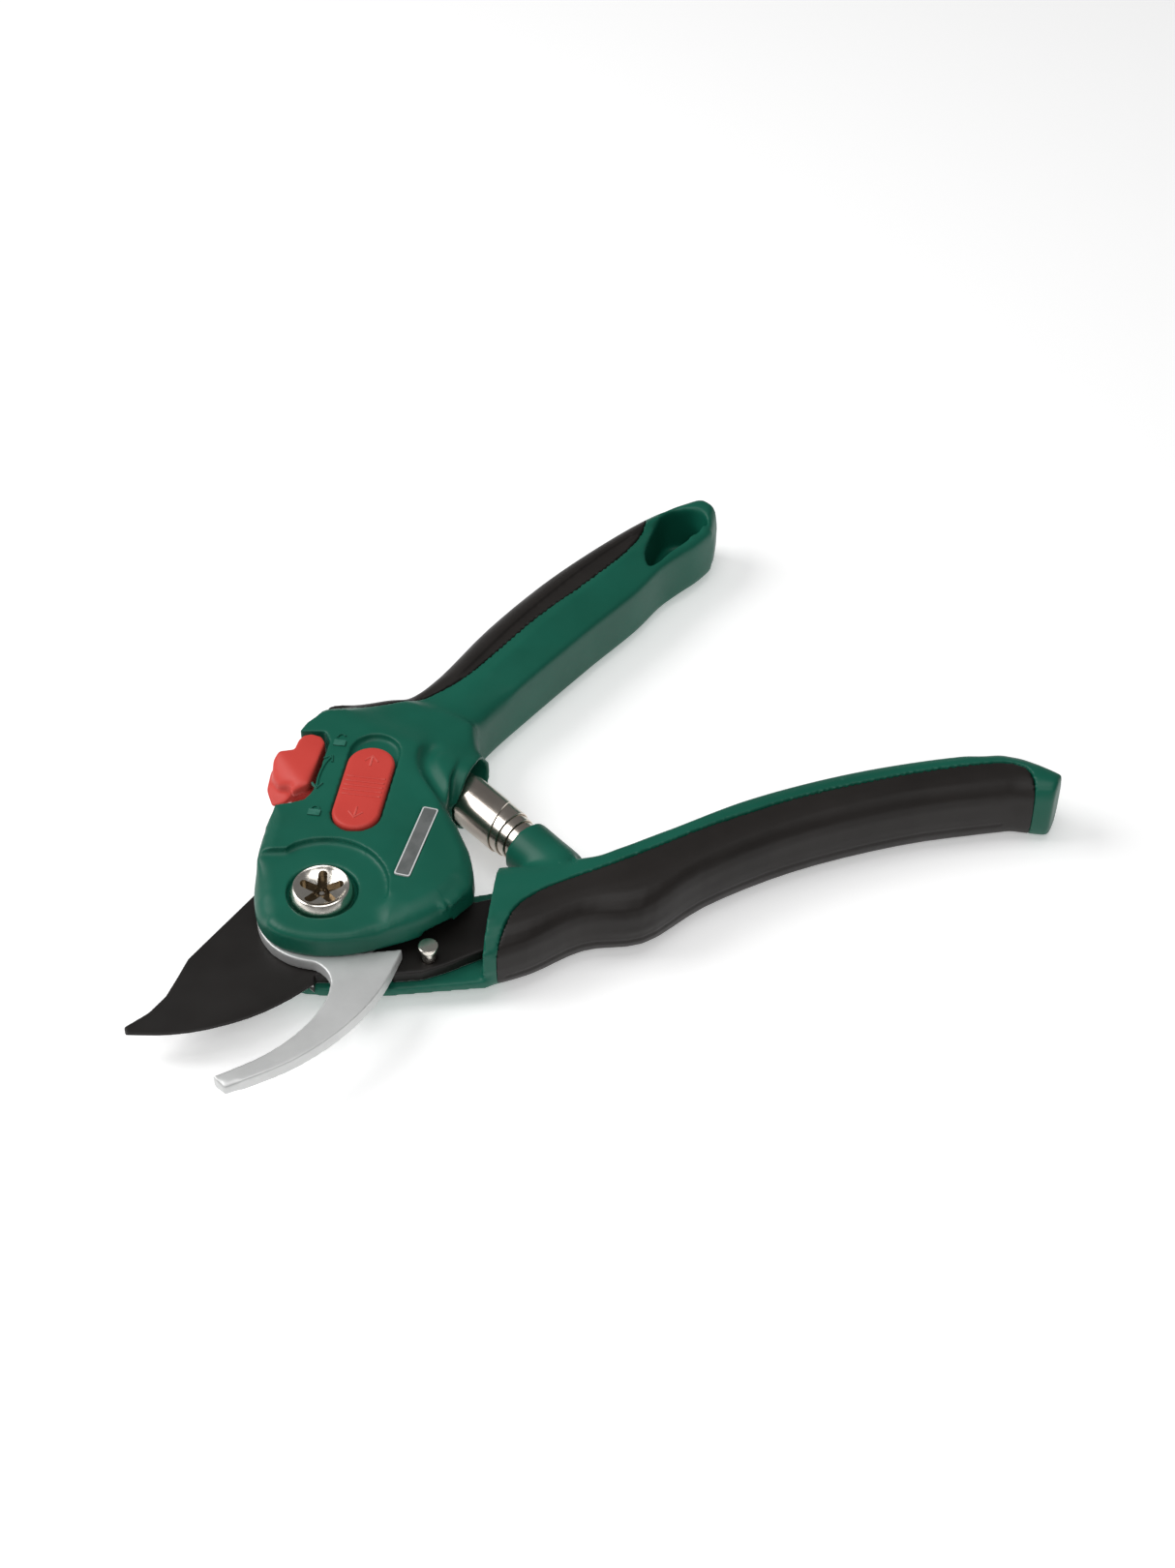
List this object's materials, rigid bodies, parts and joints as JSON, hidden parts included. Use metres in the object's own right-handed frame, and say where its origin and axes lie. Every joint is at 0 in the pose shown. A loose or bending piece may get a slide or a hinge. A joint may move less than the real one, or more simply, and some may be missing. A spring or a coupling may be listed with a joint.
{
  "type": "pruning shears",
  "caption": "Open bypass pruning shears with a coated blade, plain hook, padded handles, volute spring, thumb lock and opening limiter.",
  "frame": {"origin": "on the pivot axis, at the outer face of the pivot nut under the shears", "axes": "+Z along the pivot axis towards the bolt head, +X along the lower handle away from the jaws, +Y towards the upper handle"},
  "size_m": [0.1978, 0.1796, 0.0208],
  "materials": {
    "green_nylon": "satin",
    "black_grip": "satin",
    "red_plastic": "satin",
    "coated_blade": "matte",
    "hook_steel": "satin",
    "nickel": "polished",
    "steel": "satin",
    "badge_face": "gloss"
  },
  "bodies": {
    "upper": {"upper_handle": "green_nylon", "upper_grip": "black_grip", "hook_blade": "hook_steel", "hook_rivets": "steel", "pivot_bolt": "nickel", "pivot_nut": "nickel", "pivot_washer": "steel", "badge": "badge_face", "lock_detent_spring": "steel", "limiter_detent_spring": "steel"},
    "lower": {"lower_handle": "green_nylon", "lower_grip": "black_grip", "cutting_blade": "coated_blade", "tang_rivets": "steel", "pivot_bushing": "steel", "stop_pin": "nickel"},
    "lock": {"lock_lever": "red_plastic", "lock_peg": "steel"},
    "limiter": {"limiter_button": "red_plastic", "limiter_peg": "steel"},
    "spring": {"return_spring": "nickel"}
  },
  "joints": [
    {"name": "handle_pivot", "type": "hinge", "parent": "upper", "child": "lower", "pos_m": [0, 0, 0.008], "axis": [0, 0, 1], "range_deg": [0, 30], "stiffness_Nm_per_rad": 0.8, "springref_deg": -17.19, "deforming": ["return_spring"]},
    {"name": "spring_tilt", "type": "hinge", "parent": "upper", "child": "spring", "pos_m": [0.02, 0.04506, 0.01], "axis": [0, 0, 1], "range_deg": [0, 15]},
    {"name": "lock_slide", "type": "slide", "parent": "upper", "child": "lock", "axis": [-0.1564, -0.9877, 0], "range_m": [0, 0.0042]},
    {"name": "limiter_slide", "type": "slide", "parent": "upper", "child": "limiter", "axis": [0.1564, 0.9877, 0], "range_m": [0, 0.0042]}
  ],
  "couplings": [
    {"joint": "spring_tilt", "follows": "handle_pivot", "ratio": 0.5}
  ]
}
